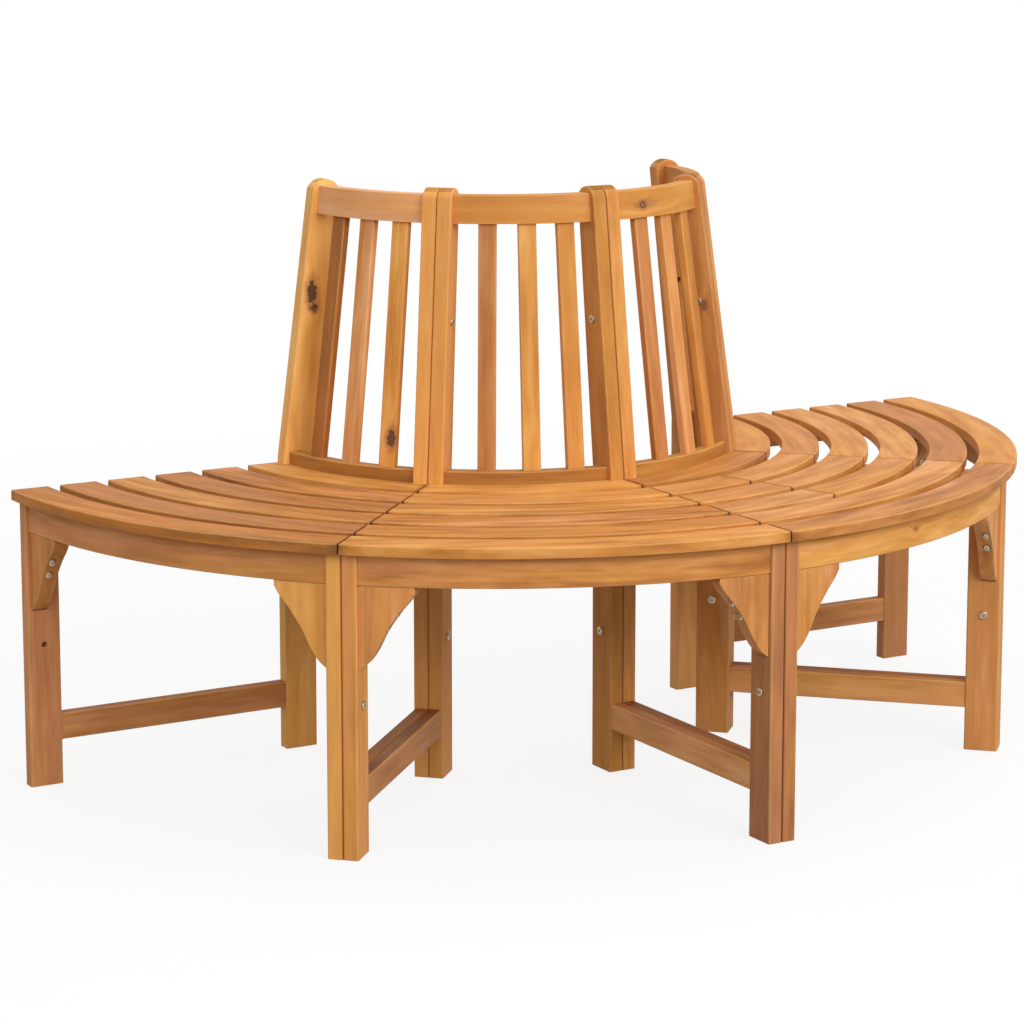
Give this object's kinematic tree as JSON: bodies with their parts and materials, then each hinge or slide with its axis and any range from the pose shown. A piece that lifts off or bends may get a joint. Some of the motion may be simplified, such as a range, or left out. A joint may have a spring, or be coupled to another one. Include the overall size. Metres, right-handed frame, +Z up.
{
  "type": "tree bench",
  "caption": "Half-round slatted wooden bench with an outward-facing curved seat and a slatted ring back, made to stand round one side of a tree.",
  "frame": {"origin": "on the ground, under the centre of the bench's outline; the ring's centre, where the tree stands, is 0.4 m behind it at +Y", "axes": "+X along the straight side between the two ends, to the picture's right; -Y to the front, the way the middle of the seat faces; +Z up"},
  "size_m": [1.6, 0.8, 0.86],
  "materials": {
    "oiled_hardwood": "oiled golden-brown acacia, satin",
    "oiled_hardwood_dark": "oiled acacia of the darker boards, satin",
    "zinc_plated_steel": "yellow zinc plating, satin"
  },
  "bodies": {
    "root": {"apron_a": "oiled_hardwood", "apron_b": "oiled_hardwood", "apron_c": "oiled_hardwood", "apron_d": "oiled_hardwood", "back_slats": "oiled_hardwood", "bracket_screws": "zinc_plated_steel", "brackets_left": "oiled_hardwood", "brackets_right": "oiled_hardwood", "connector_bolts": "zinc_plated_steel", "connector_sleeve_nuts": "zinc_plated_steel", "front_leg_a_left": "oiled_hardwood", "front_leg_a_right": "oiled_hardwood", "front_leg_b_left": "oiled_hardwood", "front_leg_b_right": "oiled_hardwood", "front_leg_c_left": "oiled_hardwood", "front_leg_c_right": "oiled_hardwood", "front_leg_d_left": "oiled_hardwood", "front_leg_d_right": "oiled_hardwood", "lower_back_rail_a": "oiled_hardwood", "lower_back_rail_b": "oiled_hardwood", "lower_back_rail_c": "oiled_hardwood", "lower_back_rail_d": "oiled_hardwood", "rear_post_a_left": "oiled_hardwood", "rear_post_a_right": "oiled_hardwood", "rear_post_b_left": "oiled_hardwood", "rear_post_b_right": "oiled_hardwood", "rear_post_c_left": "oiled_hardwood", "rear_post_c_right": "oiled_hardwood", "rear_post_d_left": "oiled_hardwood", "rear_post_d_right": "oiled_hardwood", "seat_bearers": "oiled_hardwood_dark", "seat_slat_a1": "oiled_hardwood", "seat_slat_a2": "oiled_hardwood", "seat_slat_a3": "oiled_hardwood", "seat_slat_a4": "oiled_hardwood", "seat_slat_a5": "oiled_hardwood", "seat_slat_a6": "oiled_hardwood", "seat_slat_b1": "oiled_hardwood", "seat_slat_b2": "oiled_hardwood", "seat_slat_b3": "oiled_hardwood", "seat_slat_b4": "oiled_hardwood", "seat_slat_b5": "oiled_hardwood", "seat_slat_b6": "oiled_hardwood", "seat_slat_c1": "oiled_hardwood", "seat_slat_c2": "oiled_hardwood", "seat_slat_c3": "oiled_hardwood", "seat_slat_c4": "oiled_hardwood", "seat_slat_c5": "oiled_hardwood", "seat_slat_c6": "oiled_hardwood", "seat_slat_d1": "oiled_hardwood", "seat_slat_d2": "oiled_hardwood", "seat_slat_d3": "oiled_hardwood", "seat_slat_d4": "oiled_hardwood", "seat_slat_d5": "oiled_hardwood", "seat_slat_d6": "oiled_hardwood", "stretchers": "oiled_hardwood_dark", "top_rail_a": "oiled_hardwood", "top_rail_b": "oiled_hardwood", "top_rail_c": "oiled_hardwood", "top_rail_d": "oiled_hardwood"}
  },
  "joints": []
}
